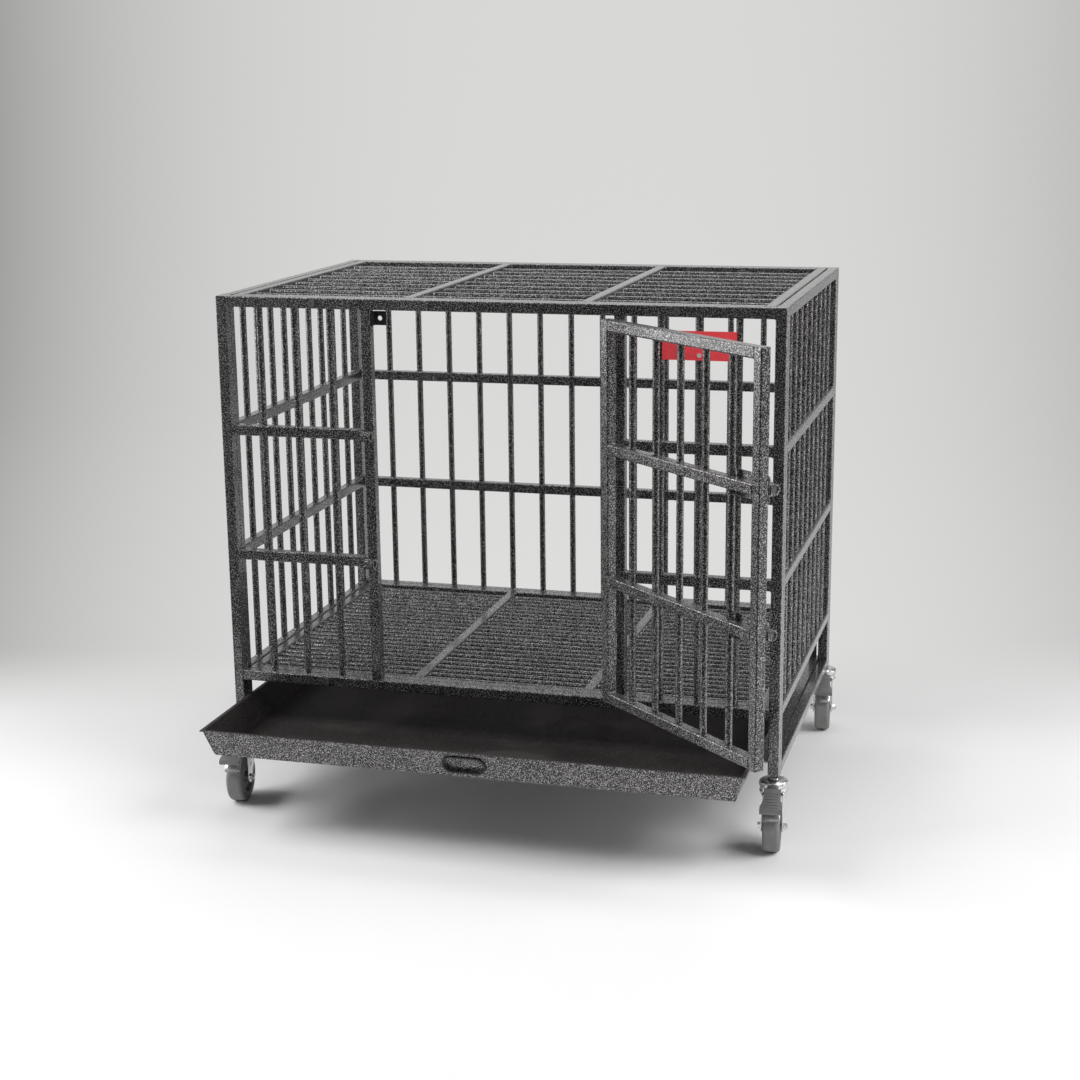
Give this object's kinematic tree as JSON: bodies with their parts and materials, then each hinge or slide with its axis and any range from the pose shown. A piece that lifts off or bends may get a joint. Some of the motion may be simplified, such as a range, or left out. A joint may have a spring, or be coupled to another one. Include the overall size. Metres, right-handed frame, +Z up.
{
  "type": "dog crate",
  "caption": "Heavy duty barred steel dog crate on swivel casters, with a hinged front door, sliding latch bolts, a barred floor and a pull-out tray below it.",
  "frame": {"origin": "on the floor, under the middle of the frame's plan", "axes": "+X to the right seen from the door's side, +Y from the door's side to the back, +Z up"},
  "size_m": [1.136, 1.0646, 0.997],
  "materials": {
    "hammertone_coat": "hammertone silver-vein powder coat, satin",
    "tray_coat": "hammertone powder coat, satin",
    "black_coat": "satin black paint",
    "red_coat": "gloss red paint",
    "zinc": "bright plated steel",
    "dark_zinc": "dark plated steel",
    "wheel_rubber": "matt grey rubber",
    "wheel_plastic": "matt dark grey plastic",
    "pedal_plastic": "matt dark grey plastic",
    "black_rubber": "matt black rubber"
  },
  "bodies": {
    "frame": {"front_posts": "hammertone_coat", "front_rails": "hammertone_coat", "front_bars": "hammertone_coat", "back_posts": "hammertone_coat", "back_rails": "hammertone_coat", "back_bars": "hammertone_coat", "left_posts": "hammertone_coat", "left_rails": "hammertone_coat", "left_bars": "hammertone_coat", "right_posts": "hammertone_coat", "right_rails": "hammertone_coat", "right_bars": "hammertone_coat", "top_cross_rails": "hammertone_coat", "top_long_rails": "hammertone_coat", "top_bars": "hammertone_coat", "floor_cross_rails": "hammertone_coat", "floor_long_rails": "hammertone_coat", "floor_bars": "hammertone_coat", "hinge_frame_leaves": "hammertone_coat", "latch_keepers": "hammertone_coat", "tray_runners": "hammertone_coat", "tray_stops": "hammertone_coat", "panel_bolts": "dark_zinc", "panel_nuts": "zinc", "plate_rivets": "zinc", "hinge_pins": "zinc", "red_plate": "red_coat", "stop_bracket": "black_coat", "caster_stems": "zinc"},
    "door": {"door_stiles": "hammertone_coat", "door_rails": "hammertone_coat", "door_bars": "hammertone_coat", "hinge_door_leaves": "hammertone_coat", "latch_plates": "hammertone_coat", "latch_guides": "hammertone_coat"},
    "latch_upper": {"latch_bolt_upper": "dark_zinc"},
    "latch_lower": {"latch_bolt_lower": "dark_zinc"},
    "tray": {"tray": "tray_coat", "tray_pull_edging": "black_rubber"},
    "swivel_front_left": {"fork_front_left": "zinc", "axle_front_left": "zinc"},
    "wheel_front_left": {"hub_front_left": "wheel_plastic", "tyre_front_left": "wheel_rubber"},
    "pedal_front_left": {"pedal_front_left": "pedal_plastic"},
    "swivel_front_right": {"fork_front_right": "zinc", "axle_front_right": "zinc"},
    "wheel_front_right": {"hub_front_right": "wheel_plastic", "tyre_front_right": "wheel_rubber"},
    "pedal_front_right": {"pedal_front_right": "pedal_plastic"},
    "swivel_back_left": {"fork_back_left": "zinc", "axle_back_left": "zinc"},
    "wheel_back_left": {"hub_back_left": "wheel_plastic", "tyre_back_left": "wheel_rubber"},
    "pedal_back_left": {"pedal_back_left": "pedal_plastic"},
    "swivel_back_right": {"fork_back_right": "zinc", "axle_back_right": "zinc"},
    "wheel_back_right": {"hub_back_right": "wheel_plastic", "tyre_back_right": "wheel_rubber"},
    "pedal_back_right": {"pedal_back_right": "pedal_plastic"}
  },
  "joints": [
    {"name": "door_hinge", "type": "hinge", "parent": "frame", "child": "door", "pos_m": [0.2295, -0.366, 0.6], "axis": [0, 0, 1], "range_deg": [-138, 35]},
    {"name": "latch_upper_slide", "type": "slide", "parent": "door", "child": "latch_upper", "axis": [0.7431, -0.6691, 0], "range_m": [0, 0.028]},
    {"name": "latch_lower_slide", "type": "slide", "parent": "door", "child": "latch_lower", "axis": [0.7431, -0.6691, 0], "range_m": [0, 0.028]},
    {"name": "tray_slide", "type": "slide", "parent": "frame", "child": "tray", "axis": [0, 1, 0], "range_m": [-0.25, 0.216]},
    {"name": "swivel_front_left_turn", "type": "hinge", "parent": "frame", "child": "swivel_front_left", "pos_m": [-0.53, -0.35, 0.12], "axis": [0, 0, 1], "continuous": true},
    {"name": "wheel_front_left_roll", "type": "hinge", "parent": "swivel_front_left", "child": "wheel_front_left", "pos_m": [-0.52665, -0.38183, 0.048], "axis": [0.9945, 0.1045, 0], "continuous": true},
    {"name": "pedal_front_left_tip", "type": "hinge", "parent": "swivel_front_left", "child": "pedal_front_left", "pos_m": [-0.52613, -0.3868, 0.112], "axis": [0.9945, 0.1045, 0], "range_deg": [0, 8]},
    {"name": "swivel_front_right_turn", "type": "hinge", "parent": "frame", "child": "swivel_front_right", "pos_m": [0.53, -0.35, 0.12], "axis": [0, 0, 1], "continuous": true},
    {"name": "wheel_front_right_roll", "type": "hinge", "parent": "swivel_front_right", "child": "wheel_front_right", "pos_m": [0.53334, -0.38183, 0.048], "axis": [0.9945, 0.1045, 0], "continuous": true},
    {"name": "pedal_front_right_tip", "type": "hinge", "parent": "swivel_front_right", "child": "pedal_front_right", "pos_m": [0.53387, -0.3868, 0.112], "axis": [0.9945, 0.1045, 0], "range_deg": [0, 8]},
    {"name": "swivel_back_left_turn", "type": "hinge", "parent": "frame", "child": "swivel_back_left", "pos_m": [-0.53, 0.35, 0.12], "axis": [0, 0, 1], "continuous": true},
    {"name": "wheel_back_left_roll", "type": "hinge", "parent": "swivel_back_left", "child": "wheel_back_left", "pos_m": [-0.52665, 0.31817, 0.048], "axis": [0.9945, 0.1045, 0], "continuous": true},
    {"name": "pedal_back_left_tip", "type": "hinge", "parent": "swivel_back_left", "child": "pedal_back_left", "pos_m": [-0.52613, 0.3132, 0.112], "axis": [0.9945, 0.1045, 0], "range_deg": [0, 8]},
    {"name": "swivel_back_right_turn", "type": "hinge", "parent": "frame", "child": "swivel_back_right", "pos_m": [0.53, 0.35, 0.12], "axis": [0, 0, 1], "continuous": true},
    {"name": "wheel_back_right_roll", "type": "hinge", "parent": "swivel_back_right", "child": "wheel_back_right", "pos_m": [0.53334, 0.31817, 0.048], "axis": [0.9945, 0.1045, 0], "continuous": true},
    {"name": "pedal_back_right_tip", "type": "hinge", "parent": "swivel_back_right", "child": "pedal_back_right", "pos_m": [0.53387, 0.3132, 0.112], "axis": [0.9945, 0.1045, 0], "range_deg": [0, 8]}
  ]
}
